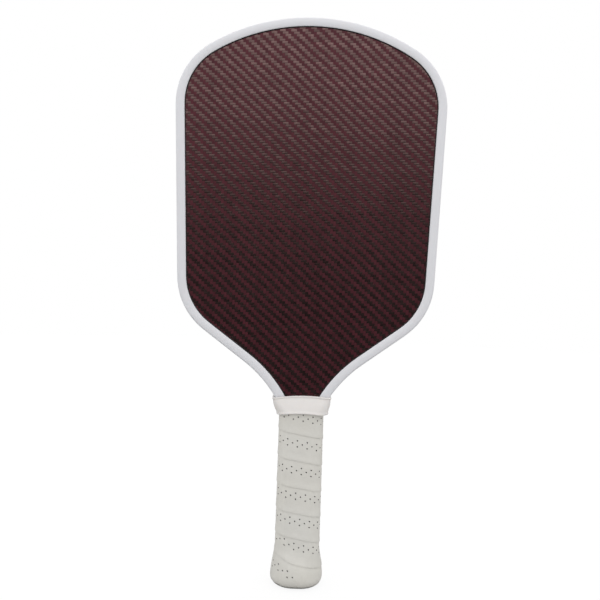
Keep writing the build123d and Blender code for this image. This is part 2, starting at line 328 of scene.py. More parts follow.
def twill_laminate():
    """Aramid and carbon 2x2 twill in epoxy, pressed against a matte release film.

    Upright red aramid tows and level carbon tows, each crowned, so that the crowns of the carbon
    catch the light from above as short grey dashes while the red stays soft.
    """
    face = bpy.context.scene.paddle_face
    material, tree, shader, place = new_material("aramid_carbon_twill_epoxy_pressed")
    parts = add(tree, "ShaderNodeSeparateXYZ", [(0, place)])
    wander = add(tree, "ShaderNodeTexNoise", [("Vector", place)], in_Scale=38.0, in_Detail=1.0)
    drift = add(tree, "ShaderNodeSeparateXYZ", [(0, wander.outputs["Color"])])

    # Filaments along each tow: real ones are 0.01 mm, drawn 0.35 mm across so that they show.
    fine = 1 / (0.35 * MM)
    coarse = 1 / (7.0 * MM)
    fibres = []
    for stretch in ((fine, fine, coarse), (coarse, fine, fine)):
        mapped = add(tree, "ShaderNodeMapping", [("Vector", place)], in_Scale=stretch).outputs[0]
        streaks = add(tree, "ShaderNodeTexNoise", [("Vector", mapped)], in_Scale=1.0, in_Detail=2.0)
        fibres.append(streaks.outputs["Fac"])

    values = {
        "x": parts.outputs["X"],
        "z": parts.outputs["Z"],
        "drift_x": drift.outputs[0],
        "drift_z": drift.outputs[1],
        "red_fibre": fibres[0],
        "black_fibre": fibres[1],
    }
    # Each step is (its result's name, the sum to do, its terms: numbers or earlier results). CHANCE
    # is a number from 0 to 1 that depends on its two terms.
    steps = [
        ("shift_x", "MULTIPLY_ADD", "drift_x", TWILL_WANDER, -TWILL_WANDER / 2),
        ("shift_z", "MULTIPLY_ADD", "drift_z", TWILL_WANDER, -TWILL_WANDER / 2),
        ("tows_across", "DIVIDE", "x", face.tow_across),
        ("tows_up", "DIVIDE", "z", face.tow_up),
        ("across", "ADD", "tows_across", "shift_x"),
        ("up", "ADD", "tows_up", "shift_z"),
        ("column", "FLOOR", "across"),
        ("row", "FLOOR", "up"),
        ("in_column", "SUBTRACT", "across", "column"),
        ("in_row", "SUBTRACT", "up", "row"),
        # Two over, two under, and one tow further on in each row.
        ("diagonal", "ADD", "column", "row"),
        ("phase", "FLOORED_MODULO", "diagonal", 4.0),
        ("red_on_top", "LESS_THAN", "phase", 2.0),
        ("black_on_top", "SUBTRACT", 1.0, "red_on_top"),
        ("cell_of_float", "FLOORED_MODULO", "phase", 2.0),
    ]
    for yarn, across_it, along_it in (("red", "in_column", "in_row"), ("black", "in_row", "in_column")):
        steps += [
            # Across the tow: 1 in its middle, 0 at its sides.
            (f"{yarn}_centred", "MULTIPLY_ADD", across_it, 2.0, -1.0),
            (f"{yarn}_side", "ABSOLUTE", f"{yarn}_centred"),
            (f"{yarn}_fall", "POWER", f"{yarn}_side", CROWN_POWER),
            (f"{yarn}_crown", "SUBTRACT", 1.0, f"{yarn}_fall"),
            # Along a float of two cells: 1 in its middle, lower where it dives under.
            (f"{yarn}_along", "ADD", "cell_of_float", along_it),
            (f"{yarn}_from_middle", "SUBTRACT", f"{yarn}_along", 1.0),
            (f"{yarn}_to_end", "ABSOLUTE", f"{yarn}_from_middle"),
            (f"{yarn}_dive", "POWER", f"{yarn}_to_end", FLOAT_POWER),
            (f"{yarn}_rise", "MULTIPLY_ADD", f"{yarn}_dive", FLOAT_END_HEIGHT - 1, 1.0),
            (f"{yarn}_height", "MULTIPLY", f"{yarn}_crown", f"{yarn}_rise"),
        ]
    for quality in ("height", "fibre"):
        steps += [
            (f"red_{quality}_seen", "MULTIPLY", f"red_{quality}", "red_on_top"),
            (quality, "MULTIPLY_ADD", f"black_{quality}", "black_on_top", f"red_{quality}_seen"),
        ]
    steps += [
        ("red_tow", "MULTIPLY", "column", "red_on_top"),
        ("black_tow", "MULTIPLY", "row", "black_on_top"),
        ("tow_chance", "CHANCE", "red_tow", "black_tow"),
        ("cell_chance", "CHANCE", "column", "row"),
        ("tow_tone", "MULTIPLY_ADD", "tow_chance", TOW_TONES[1], TOW_TONES[0]),
        ("yarn_tone", "MULTIPLY_ADD", "cell_chance", CELL_TONES, "tow_tone"),
        ("fibre_tone", "MULTIPLY_ADD", "fibre", FILAMENT_TONES[1], FILAMENT_TONES[0]),
        # Painted shade in the grooves: the lower a tow lies, the darker it is drawn.
        ("painted_groove_shade", "MULTIPLY_ADD", "height", HEIGHT_TONES[1], HEIGHT_TONES[0]),
        ("lit_tone", "MULTIPLY", "yarn_tone", "fibre_tone"),
        ("tone", "MULTIPLY", "lit_tone", "painted_groove_shade"),
        ("relief", "MULTIPLY_ADD", "fibre", FILAMENT_RELIEF, "height"),
        ("metal", "MULTIPLY", "black_on_top", CARBON_METAL),
        ("roughness", "MULTIPLY_ADD", "red_on_top", ARAMID_EXTRA_ROUGHNESS, CARBON_ROUGHNESS),
    ]
    for name, operation, *terms in steps:
        feeds = list(enumerate(values.get(term, term) for term in terms))
        if operation == "CHANCE":
            seed = add(tree, "ShaderNodeCombineXYZ", feeds).outputs[0]
            values[name] = add(tree, "ShaderNodeTexWhiteNoise", [("Vector", seed)]).outputs["Value"]
        else:
            values[name] = add(tree, "ShaderNodeMath", feeds, operation=operation).outputs[0]

    base = add(
        tree,
        "ShaderNodeMix",
        [(0, values["red_on_top"])],
        data_type="RGBA",
        in_6=(*face.carbon, 1),
        in_7=(*face.aramid, 1),
    ).outputs[2]
    colour = add(tree, "ShaderNodeVectorMath", [(0, base), (3, values["tone"])], operation="SCALE").outputs[0]
    bump = add(
        tree,
        "ShaderNodeBump",
        [("Height", values["relief"])],
        in_Strength=1.0,
        in_Distance=TWILL_RELIEF,
    )
    tree.links.new(colour, shader.inputs["Base Color"])
    tree.links.new(values["metal"], shader.inputs["Metallic"])
    tree.links.new(values["roughness"], shader.inputs["Roughness"])
    tree.links.new(bump.outputs[0], shader.inputs["Normal"])
    # A gloss stronger than plain resin's, tinted red, keeps the aramid warm under a white sky.
    shader.inputs["Specular Tint"].default_value = (1.0, 0.5, 0.55, 1)
    shader.inputs["Specular IOR Level"].default_value = 0.67
    return material


def extruded_guard_plastic():
    """Thermoplastic polyurethane, extruded and softly polished: off-white, faintly cool, satin."""
    guard = bpy.context.scene.paddle_guard
    material, tree, shader, place = new_material("tpu_extruded_satin")
    cloud = add(tree, "ShaderNodeTexNoise", [("Vector", place)], in_Scale=60.0, in_Detail=3.0).outputs["Fac"]
    tint = add(
        tree,
        "ShaderNodeMix",
        [(0, cloud)],
        data_type="RGBA",
        in_6=(*[c * 0.965 for c in guard.plastic], 1),
        in_7=(*guard.plastic, 1),
    ).outputs[2]
    grain = add(
        tree,
        "ShaderNodeTexNoise",
        [("Vector", place)],
        in_Scale=1400.0,
        in_Detail=2.0,
    ).outputs["Fac"]
    waves = add(tree, "ShaderNodeTexNoise", [("Vector", place)], in_Scale=90.0, in_Detail=1.0).outputs["Fac"]
    low = add(tree, "ShaderNodeBump", [("Height", waves)], in_Strength=0.35, in_Distance=0.5 * MM)
    bump = add(
        tree,
        "ShaderNodeBump",
        [("Height", grain), ("Normal", low.outputs[0])],
        in_Strength=0.25,
        in_Distance=0.03 * MM,
    )
    rough = add(tree, "ShaderNodeMapRange", [(0, cloud)], in_3=0.32, in_4=0.42).outputs[0]
    tree.links.new(tint, shader.inputs["Base Color"])
    tree.links.new(rough, shader.inputs["Roughness"])
    tree.links.new(bump.outputs[0], shader.inputs["Normal"])
    shader.inputs["IOR"].default_value = 1.5
    shader.inputs["Subsurface Weight"].default_value = 0.08
    shader.inputs["Subsurface Radius"].default_value = (1.2 * MM, 1.0 * MM, 1.0 * MM)
    shader.inputs["Subsurface Scale"].default_value = 1.0
    return material


def cured_adhesive():
    """Black contact adhesive, cured in a bead: uneven, half gloss. Its near-black is partly the adhesive and
    partly painted shadow of the gap under the guard's lip.
    """
    guard = bpy.context.scene.paddle_guard
    material, tree, shader, place = new_material("black_adhesive_bead_painted_gap_shadow")
    lumps = add(tree, "ShaderNodeTexNoise", [("Vector", place)], in_Scale=700.0, in_Detail=3.0).outputs["Fac"]
    bump = add(tree, "ShaderNodeBump", [("Height", lumps)], in_Strength=0.6, in_Distance=0.15 * MM)
    rough = add(tree, "ShaderNodeMapRange", [(0, lumps)], in_3=0.35, in_4=0.6).outputs[0]
    shader.inputs["Base Color"].default_value = (*guard.adhesive, 1)
    tree.links.new(rough, shader.inputs["Roughness"])
    tree.links.new(bump.outputs[0], shader.inputs["Normal"])
    shader.inputs["IOR"].default_value = 1.5
    return material


def tape_leather():
    """Polyurethane leather on felt, embossed and punched: soft, slightly grubby, with fine pores."""
    grip = bpy.context.scene.paddle_grip
    material, tree, shader, place = new_material("pu_leather_tape_embossed")
    cloud = add(tree, "ShaderNodeTexNoise", [("Vector", place)], in_Scale=75.0, in_Detail=4.0).outputs["Fac"]
    warmth = add(tree, "ShaderNodeTexNoise", [("Vector", place)], in_Scale=28.0, in_Detail=2.0).outputs["Fac"]
    tint = add(
        tree,
        "ShaderNodeMix",
        [(0, cloud)],
        data_type="RGBA",
        in_6=(*[c * 0.90 for c in grip.leather], 1),
        in_7=(*[min(c * 1.03, 1) for c in grip.leather], 1),
    ).outputs[2]
    warm = add(
        tree,
        "ShaderNodeMix",
        [(0, warmth), (6, tint)],
        data_type="RGBA",
        blend_type="MULTIPLY",
        in_7=(*linear("FBF8F3"), 1),
    ).outputs[2]
    # Pores of the embossed grain: 0.35 mm apart on real tape, drawn 0.45 mm apart so that they show.
    pores = add(
        tree,
        "ShaderNodeTexVoronoi",
        [("Vector", place)],
        in_Scale=1 / (0.45 * MM),
        feature="DISTANCE_TO_EDGE",
    ).outputs["Distance"]
    creases = add(
        tree,
        "ShaderNodeTexNoise",
        [("Vector", place)],
        in_Scale=240.0,
        in_Detail=4.0,
    ).outputs["Fac"]
    low = add(tree, "ShaderNodeBump", [("Height", creases)], in_Strength=0.5, in_Distance=0.35 * MM)
    bump = add(
        tree,
        "ShaderNodeBump",
        [("Height", pores), ("Normal", low.outputs[0])],
        in_Strength=0.3,
        in_Distance=0.06 * MM,
    )
    rough = add(tree, "ShaderNodeMapRange", [(0, cloud)], in_3=0.42, in_4=0.58).outputs[0]
    tree.links.new(warm, shader.inputs["Base Color"])
    tree.links.new(rough, shader.inputs["Roughness"])
    tree.links.new(bump.outputs[0], shader.inputs["Normal"])
    shader.inputs["IOR"].default_value = 1.48
    shader.inputs["Sheen Weight"].default_value = 0.06
    return material


def tape_felt():
    """Grey non-woven felt that backs the tape, seen down the punched holes, drawn dark also as painted shade
    down the holes, on their walls too.
    """
    material, tree, shader, place = new_material("polyester_felt_painted_hole_shade")
    fluff = add(
        tree,
        "ShaderNodeTexNoise",
        [("Vector", place)],
        in_Scale=2600.0,
        in_Detail=3.0,
    ).outputs["Fac"]
    tint = add(
        tree,
        "ShaderNodeMix",
        [(0, fluff)],
        data_type="RGBA",
        in_6=(*linear("3A3937"), 1),
        in_7=(*linear("6A6966"), 1),
    ).outputs[2]
    tree.links.new(tint, shader.inputs["Base Color"])
    shader.inputs["Roughness"].default_value = 0.95
    return material


def collar_rubber():
    """Silicone rubber, moulded and stretched: off-white with a soft sheen."""
    collar = bpy.context.scene.paddle_collar
    material, tree, shader, place = new_material("silicone_rubber_moulded")
    cloud = add(tree, "ShaderNodeTexNoise", [("Vector", place)], in_Scale=110.0, in_Detail=3.0).outputs["Fac"]
    tint = add(
        tree,
        "ShaderNodeMix",
        [(0, cloud)],
        data_type="RGBA",
        in_6=(*[c * 0.95 for c in collar.rubber], 1),
        in_7=(*collar.rubber, 1),
    ).outputs[2]
    grain = add(
        tree,
        "ShaderNodeTexNoise",
        [("Vector", place)],
        in_Scale=1800.0,
        in_Detail=2.0,
    ).outputs["Fac"]
    bump = add(tree, "ShaderNodeBump", [("Height", grain)], in_Strength=0.3, in_Distance=0.03 * MM)
    rough = add(tree, "ShaderNodeMapRange", [(0, cloud)], in_3=0.42, in_4=0.52).outputs[0]
    tree.links.new(tint, shader.inputs["Base Color"])
    tree.links.new(rough, shader.inputs["Roughness"])
    tree.links.new(bump.outputs[0], shader.inputs["Normal"])
    shader.inputs["IOR"].default_value = 1.43
    shader.inputs["Subsurface Weight"].default_value = 0.1
    shader.inputs["Subsurface Radius"].default_value = (1.5 * MM, 1.2 * MM, 1.0 * MM)
    shader.inputs["Subsurface Scale"].default_value = 1.0
    return material


def plain_finish(name, hex_colour, roughness, grains, depth, metallic=0.0):
    """A plain part's finish: one colour that drifts a little, over a grain of that many per metre."""
    material, tree, shader, place = new_material(name)
    colour = linear(hex_colour)
    cloud = add(tree, "ShaderNodeTexNoise", [("Vector", place)], in_Scale=80.0, in_Detail=3.0).outputs["Fac"]
    tint = add(
        tree,
        "ShaderNodeMix",
        [(0, cloud)],
        data_type="RGBA",
        in_6=(*[c * 0.9 for c in colour], 1),
        in_7=(*colour, 1),
    ).outputs[2]
    grain = add(
        tree,
        "ShaderNodeTexNoise",
        [("Vector", place)],
        in_Scale=grains,
        in_Detail=3.0,
    ).outputs["Fac"]
    bump = add(tree, "ShaderNodeBump", [("Height", grain)], in_Strength=0.4, in_Distance=depth)
    least = roughness - 0.05
    rough = add(tree, "ShaderNodeMapRange", [(0, grain)], in_3=least, in_4=roughness + 0.05).outputs[0]
    tree.links.new(tint, shader.inputs["Base Color"])
    tree.links.new(rough, shader.inputs["Roughness"])
    tree.links.new(bump.outputs[0], shader.inputs["Normal"])
    shader.inputs["Metallic"].default_value = metallic
    return material


def give(node, material):
    """Puts the material on a CAD node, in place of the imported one."""
    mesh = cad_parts[node].data
    mesh.materials.clear()
    mesh.materials.append(material)


# ---------------------------------------------------------------- handle surface


def rounded_point(turn, half_width, half_depth, corner):
    """Point and outward direction on a rounded rectangle, evenly along its edge.

    turn counts anticlockwise seen from above, from 0 in the middle of the front.
    """
    x = half_width - corner
    y = half_depth - corner
    quarter = math.pi / 2 * corner
    legs = (x, quarter, 2 * y, quarter, 2 * x, quarter, 2 * y, quarter, x)
    s = (turn % 1.0) * sum(legs)
    leg = 0
    while leg < len(legs) - 1 and s > legs[leg]:
        s -= legs[leg]
        leg += 1
    if leg % 2:
        corner_x, corner_y = ((x, -y), (x, y), (-x, y), (-x, -y))[leg // 2]
        angle = leg // 2 * math.pi / 2 + s / corner - math.pi / 2
        out = Vector((math.cos(angle), math.sin(angle), 0))
        return Vector((corner_x, corner_y, 0)) + out * corner, out
    starts = ((0, -half_depth), (half_width, -y), (x, half_depth), (-half_width, y), (-x, -half_depth))
    ways = ((1, 0), (0, 1), (-1, 0), (0, -1), (1, 0))
    start = Vector((*starts[leg // 2], 0))
    way = Vector((*ways[leg // 2], 0))
    return start + way * s, Vector((way.y, -way.x, 0))


def on_handle(turn, z, out):
    """Point in metres on the handle's surface at height z, moved out by out millimetres."""
    share = smooth(0.0, 1.0, (FLARE_TOP - z) / (FLARE_TOP - FLARE_WIDEST))
    radius = BUTT_ROUND - SLEEVE + out
    # The rounding stops short of its end, where it would turn level.
    drop = min(max(BUTT_ROUND - z, 0), 0.93 * radius)
    grow = out - radius + math.sqrt(radius * radius - drop * drop)
    loss = RAMP_LOSS * min(max((z - RAMP_BOTTOM) / RAMP_RUN, 0), 1)
    half_width = HALF_WIDTH + FLARE_WIDTH * share + grow
    half_depth = HALF_DEPTH + FLARE_DEPTH * share + grow - loss
    point, _ = rounded_point(turn, half_width, half_depth, CORNER + CORNER_GAIN * share + grow)
    return Vector((point.x * MM, point.y * MM, z * MM))


# ---------------------------------------------------------------- grip tape


class TapeWinding:
    """Where the wound tape lies, in millimetres. Turns count upwards, clockwise seen from above."""

    perimeter = 110.1
    first_turn = -1.937
    last_turn = 6.45
    first_hole_turn = -1.0
    # Height of the lower edge at turn 0, and how the pitch grows up the handle.
    seam_height = 17.9
    pitch_growth = 0.13
    # Uneven laying by hand: (turn, spread in turns, rise).
    lay = ((-0.87, 0.05, 1.0), (0.15, 0.085, 3.9), (1.12, 0.12, 0.6), (2.6, 0.3, -0.5), (3.3, 0.25, -0.8))
    # The start is laid lower, and joins the helix between these two turns.
    start_drop = 6.2
    start_settles = (-1.10, -0.87)
    # How far the face stands off the handle: in the open, at the butt's rim, where the next turn
    # begins to cover it, and at the bevelled edge that it covers.
    full = 1.62
    full_at_rim = 1.78
    under = 1.42
    overlap_edge = 0.45
    # Height of the ridge along the lower edge, where the tape climbs over the turn below.
    ridge = 0.28
    # Gap between the back and what it lies on, and how much more it bridges beside an overlap.
    back_gap = 0.04
    bridge = 0.45
    # Height of the broad swells and of the narrow creases in the face.
    swell = 0.07
    crease = 0.22

    def __init__(self, grip):
        self.width = grip.tape_width / MM
        self.pitch = grip.pitch / MM
        self.wrinkle = Vector((grip.seed * 3.1, grip.seed * 1.7, 0))

    def low(self, turn):
        """Height of the tape's lower edge."""
        height = self.seam_height + self.pitch * turn + self.pitch_growth * turn * turn
        for centre, spread, rise in self.lay:
            height += rise * math.exp(-(((turn - centre) / spread) ** 2))
        return height - self.start_drop * (1 - smooth(*self.start_settles, turn))

    def outer(self, turn, v):
        """How far the tape's face stands off the handle, v above its lower edge."""
        gap = self.low(turn + 1) - self.low(turn)
        buried = v - gap
        if buried > 0:
            return self.hidden(buried, self.width - gap)
        rise = self.ridge * math.exp(-(((v - 0.8) / 2.6) ** 2)) * smooth(-1.2, 0.4, v)
        dip = (self.full - self.under) * smooth(-4.0, 0.0, buried)
        rest = self.low(turn) + v
        if turn < -0.05 and self.low(turn - 1) + self.width < RIM_TOP + 1:
            rise = 0
        rim = (self.full_at_rim - self.full) * (1 - smooth(RIM_TOP, RIM_TOP + 3.0, rest))
        return self.full + rise - dip + rim + self.wrinkles(turn, v)

    def hidden(self, buried, overlap):
        """Face of the part that the next turn covers, thinned to the tape's bevelled edge."""
        return self.under - (self.under - self.overlap_edge) * min(buried / max(overlap, 0.1), 1)

    def inner(self, turn, v):
        """How far the tape's back stands off the handle."""
        if turn - 1 < self.first_turn:
            return self.back_gap
        overlap = self.width - (self.low(turn) - self.low(turn - 1))
        if v >= overlap:
            return self.back_gap + self.bridge * (1 - smooth(0, 2.0, v - overlap))
        return self.hidden(v, overlap) + self.back_gap

    def wrinkles(self, turn, v):
        """Small unevenness of the tape's face."""
        place = self.wrinkle + Vector((turn * 14.0, v * 0.11, 0))
        broad = noise.noise(place) * self.swell
        crease_place = self.wrinkle + Vector((turn * 55.0 + v * 0.35, v * 0.5 - turn * 9.0, 4.0))
        narrow = max(noise.noise(crease_place) - 0.25, 0) * self.crease
        return (broad + narrow) * smooth(0.3, 2.0, v)

    def point(self, turn, v, out):
        """Point in metres, v above the tape's lower edge and out off the handle."""
        return on_handle(-turn, self.low(turn) + v, out)


# Rows of vertices up the tape, in millimetres from its lower edge, close together at the seam.
SEAM_LEVELS = (0.0, 0.08, 0.25, 0.7, 1.4, 2.3, 3.4, 4.6, 5.9, 7.2, 8.3)
UPPER_LEVEL_STEP = 0.75
EDGE_BEVEL = 0.22
HOLE_SIDES = 8
HOLE_DEPTH = 0.95
HOLE_RIM_SINK = 0.02
HOLE_TAPER = 0.8
CELLS_PER_HOLE = 8
# Least distance from a hole's middle to the next turn's edge, the butt's rim and the tape's top.
HOLE_TO_SEAM = 1.0
HOLE_TO_RIM = 3.1
HOLE_TO_TOP = 1.2
# How far the cut tape stays from the butt's rim and from the top of its room under the collar.
CUT_ABOVE_RIM = 0.05
CUT_BELOW_TOP = 0.8


def punched_tape(grip):
    """The wound tape as one closed strip, with blind holes through its leather."""
    tape = TapeWinding(grip)
    hole_radius = grip.hole_diameter / MM / 2
    perimeter = tape.perimeter
    step = grip.hole_period / MM / CELLS_PER_HOLE / perimeter
    columns = int((tape.last_turn - tape.first_turn) / step)
    rows_at = [tape.width / 2 + k * grip.row_spacing / MM for k in (-1, 0, 1)]
    cell = grip.row_spacing / MM / 2
    levels = [v for v in SEAM_LEVELS if v < rows_at[0] - cell - 0.3]
    first_row_level = len(levels)
    v = rows_at[0] - cell
    while v < rows_at[2] + cell + 0.01:
        levels.append(v)
        v += cell
    v = levels[-1] + 0.8
    while v < tape.width - 0.4:
        levels.append(v)
        v += UPPER_LEVEL_STEP
    levels.append(tape.width)
    last = len(levels) - 1

    bm = bmesh.new()
    face = []
    back = []
    # The back is coarser: it uses these of the face's levels.
    back_levels = [0, 4, 8, first_row_level + 3, (first_row_level + last) // 2 + 3, last - 3, last]
    for c in range(columns + 1):
        turn = tape.first_turn + c * step
        column = []
        for i, v in enumerate(levels):
            out = tape.outer(turn, v)
            if i == 0:
                out -= EDGE_BEVEL
            column.append(bm.verts.new(tape.point(turn, v, out)))
        face.append(column)
        column = []
        for i in back_levels:
            out = tape.inner(turn, levels[i])
            column.append(bm.verts.new(tape.point(turn, levels[i], out)))
        back.append(column)

    holes = {}
    for k, row in enumerate(rows_at):
        shift = CELLS_PER_HOLE // 2 if k == 1 else 0
        level = first_row_level + 2 * k
        for c in range(2 + shift, columns - 3, CELLS_PER_HOLE):
            turn = tape.first_turn + (c + 1) * step
            centre = tape.low(turn) + row
            gap = tape.low(turn + 1) - tape.low(turn)
            shown = turn > tape.first_hole_turn and row < gap - HOLE_TO_SEAM
            if shown and RIM_TOP + HOLE_TO_RIM < centre < TAPE_TOP - HOLE_TO_TOP:
                holes[(c, level)] = (turn, row)

    # Each hole takes four cells: a ring of facets leads from their outline to its round rim.
    taken = set()
    for (c, level), (turn, row) in holes.items():
        taken.update(((c, level), (c + 1, level), (c, level + 1), (c + 1, level + 1)))
        ring_cells = ((0, 0), (1, 0), (2, 0), (2, 1), (2, 2), (1, 2), (0, 2), (0, 1))
        ring = [face[c + a][level + b] for a, b in ring_cells]
        rim = []
        floor = []
        for n in range(HOLE_SIDES):
            angle = -math.pi * 3 / 4 + n * math.pi * 2 / HOLE_SIDES
            around = hole_radius * math.cos(angle) / perimeter
            rise = hole_radius * math.sin(angle)
            out = tape.outer(turn, row)
            rim.append(bm.verts.new(tape.point(turn + around, row + rise, out - HOLE_RIM_SINK)))
            around *= HOLE_TAPER
            rise *= HOLE_TAPER
            floor.append(bm.verts.new(tape.point(turn + around, row + rise, out - HOLE_DEPTH)))
        for n in range(HOLE_SIDES):
            m = (n + 1) % HOLE_SIDES
            bm.faces.new((ring[n], ring[m], rim[m], rim[n]))
            # Painted shade: the walls and floor take the dark felt, which is partly the felt backing and
            # partly painted shade down the hole.
            wall = bm.faces.new((rim[n], rim[m], floor[m], floor[n]))
            wall.material_index = 1
        bottom = bm.faces.new(floor)
        bottom.material_index = 1

    for c in range(columns):
        for i in range(last):
            if (c, i) not in taken:
                bm.faces.new((face[c][i], face[c + 1][i], face[c + 1][i + 1], face[c][i + 1]))
        for i in range(len(back_levels) - 1):
            bm.faces.new((back[c][i], back[c][i + 1], back[c + 1][i + 1], back[c + 1][i]))
        bm.faces.new((face[c][0], back[c][0], back[c + 1][0], face[c + 1][0]))
        bm.faces.new((face[c][last], face[c + 1][last], back[c + 1][-1], back[c][-1]))
    # Both ends are closed, then the strip is cut level at the rim and under the collar.
    for c in (0, columns):
        loop = list(face[c]) + list(reversed(back[c]))
        bm.faces.new(loop if c == 0 else loop[::-1])

    for height, keep_above in ((RIM_TOP + CUT_ABOVE_RIM, True), (TAPE_TOP - CUT_BELOW_TOP, False)):
        cut = bmesh.ops.bisect_plane(
            bm,
            geom=bm.verts[:] + bm.edges[:] + bm.faces[:],
            dist=1e-7,
            plane_co=(0, 0, height * MM),
            plane_no=(0, 0, -1 if keep_above else 1),
            clear_outer=True,
        )
        rim_edges = [e for e in cut["geom_cut"] if isinstance(e, bmesh.types.BMEdge)]
        bmesh.ops.edgenet_fill(bm, edges=rim_edges)
    bmesh.ops.recalc_face_normals(bm, faces=bm.faces[:])
    return bm


def finish_mesh(bm, name, materials):
    """Turns the bmesh into a named, smooth-shaded piece that rides on the paddle."""
    mesh = bpy.data.meshes.new(name)
    bm.to_mesh(mesh)
    bm.free()
    mesh.shade_smooth()
    mesh.set_sharp_from_angle(angle=math.radians(50))
    for material in materials:
        mesh.materials.append(material)
    piece = bpy.data.objects.new(name, mesh)
    bpy.context.scene.collection.objects.link(piece)
    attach(piece, BODY)
    return piece


# ---------------------------------------------------------------- collar


# Space inside the band: (height, half width, half depth, corner), in millimetres.
COLLAR_SHAPE = (
    (120.0, 16.75, 15.4, 8.2),
    (126.5, 17.95, 15.3, 8.0),
    (131.5, 19.4, 13.3, 6.0),
    (136.0, 19.65, 10.9, 3.4),
    (141.0, 20.45, 9.6, 2.4),
)
# The band sits a little to one side, more at its foot, where it is pinched in and its right corner
# has ridden up. Its top edge rises by COLLAR_TILT for each millimetre to the right.
COLLAR_SLIP = -0.05
COLLAR_FOOT_SLIP = 0.75
COLLAR_PINCH = 0.7
COLLAR_FOOT_LIFT = 1.6
LIFTED_CORNER = (13.0, 21.0)
COLLAR_TILT = 0.025
COLLAR_TOP = collar_high.z / MM
COLLAR_BOTTOM = 125.8
# Radius of each arched edge, and how far from the middle it goes on dropping.
TOP_ARCH = 127.0
TOP_ARCH_REACH = 24
BOTTOM_ARCH = 90.0
BOTTOM_ARCH_REACH = 20
COLLAR_COLUMNS = 168
# The fold: where it is and how wide, in turns, how far it stands out and how far it sags.
FOLD_AT = 0.165
FOLD_WIDTH = 0.035
FOLD_OUT = 0.35
FOLD_SAG = 0.3
RIPPLE = 0.10


def collar_section(z):
    """Half width, half depth and corner of the space inside the collar at height z."""
    z = min(max(z, COLLAR_SHAPE[0][0]), COLLAR_SHAPE[-1][0])
    for (z0, *first), (z1, *second) in zip(COLLAR_SHAPE, COLLAR_SHAPE[1:]):
        if z <= z1:
            t = (z - z0) / (z1 - z0)
            return [a + (b - a) * t for a, b in zip(first, second)]
    return list(COLLAR_SHAPE[-1][1:])


def arch(x, radius):
    """Drop of the collar's edge at x from its highest point in the middle of a face."""
    return radius - math.sqrt(radius * radius - x * x)


def collar_profile(wall):
    """Closed section of the band: (share of the height, outward), bead at the top, roll below."""
    outline = [(0.04, 0.0), (0.0, 0.4), (0.0, wall), (0.02, wall + 0.32), (0.055, wall + 0.42)]
    outline += [(0.09, wall + 0.32), (0.125, wall + 0.02), (0.17, wall - 0.1), (0.28, wall)]
    outline += [(0.4, wall + 0.02), (0.55, wall + 0.02), (0.7, wall), (0.82, wall - 0.02), (0.895, wall)]
    outline += [(0.912, wall + 0.3), (0.935, wall + 0.5), (0.965, wall + 0.52), (0.99, wall + 0.35)]
    outline += [(1.0, wall), (1.0, 0.3), (0.985, 0.0), (0.8, 0.0), (0.5, 0.0), (0.2, 0.0)]
    return outline


def stretched_collar(collar):
    """Rubber band over the throat: arched edges, a bead, a rolled hem and a small fold."""
    wall = collar.wall / MM
    outline = collar_profile(wall)
    bm = bmesh.new()
    rings = []
    for c in range(COLLAR_COLUMNS):
        turn = c / COLLAR_COLUMNS
        ring = []
        for share, out in outline:
            # Height and place depend on each other, and settle in three rounds.
            x = 0.0
            for _ in range(3):
                top = COLLAR_TOP - arch(min(abs(x), TOP_ARCH_REACH), TOP_ARCH)
                bottom = COLLAR_BOTTOM - arch(min(abs(x), BOTTOM_ARCH_REACH), BOTTOM_ARCH)
                z = bottom + share * (top - bottom)
                half_width, half_depth, corner = collar_section(z)
                half_width -= COLLAR_PINCH * (1 - share) ** 2
                point, direction = rounded_point(turn, half_width + out, half_depth + out, corner + out)
                x = point.x
            fold = math.exp(-(((turn - FOLD_AT) / FOLD_WIDTH) ** 2)) * (1 - smooth(0.05, 0.45, share))
            ripple = noise.noise(Vector((turn * 26, share * 2.2, 3.3))) * RIPPLE * (1 - abs(share - 0.5))
            slip = COLLAR_SLIP + (COLLAR_FOOT_SLIP - COLLAR_SLIP) * (1 - share) ** 2
            point = point + direction * (fold * FOLD_OUT + ripple) + Vector((slip, 0, 0))
            lift = COLLAR_FOOT_LIFT * smooth(*LIFTED_CORNER, point.x) * (1 - share) ** 2
            lift += COLLAR_TILT * point.x * share**2
            z += lift - fold * FOLD_SAG
            ring.append(bm.verts.new((point.x * MM, point.y * MM, z * MM)))
        rings.append(ring)
    for c in range(COLLAR_COLUMNS):
        ring = rings[c]
        other = rings[(c + 1) % COLLAR_COLUMNS]
        for i in range(len(outline)):
            j = (i + 1) % len(outline)
            bm.faces.new((ring[i], other[i], other[j], ring[j]))
    bmesh.ops.recalc_face_normals(bm, faces=bm.faces[:])
    return bm


# ---------------------------------------------------------------- operators


class PADDLE_OT_faces(bpy.types.Operator):
    """Weave the front and back face sheets"""

    bl_idname = "paddle.faces"
    bl_label = "Face sheets"

    def execute(self, context):
        laminate = twill_laminate()
        give("front_skin", laminate)
        give("back_skin", laminate)
        return {"FINISHED"}


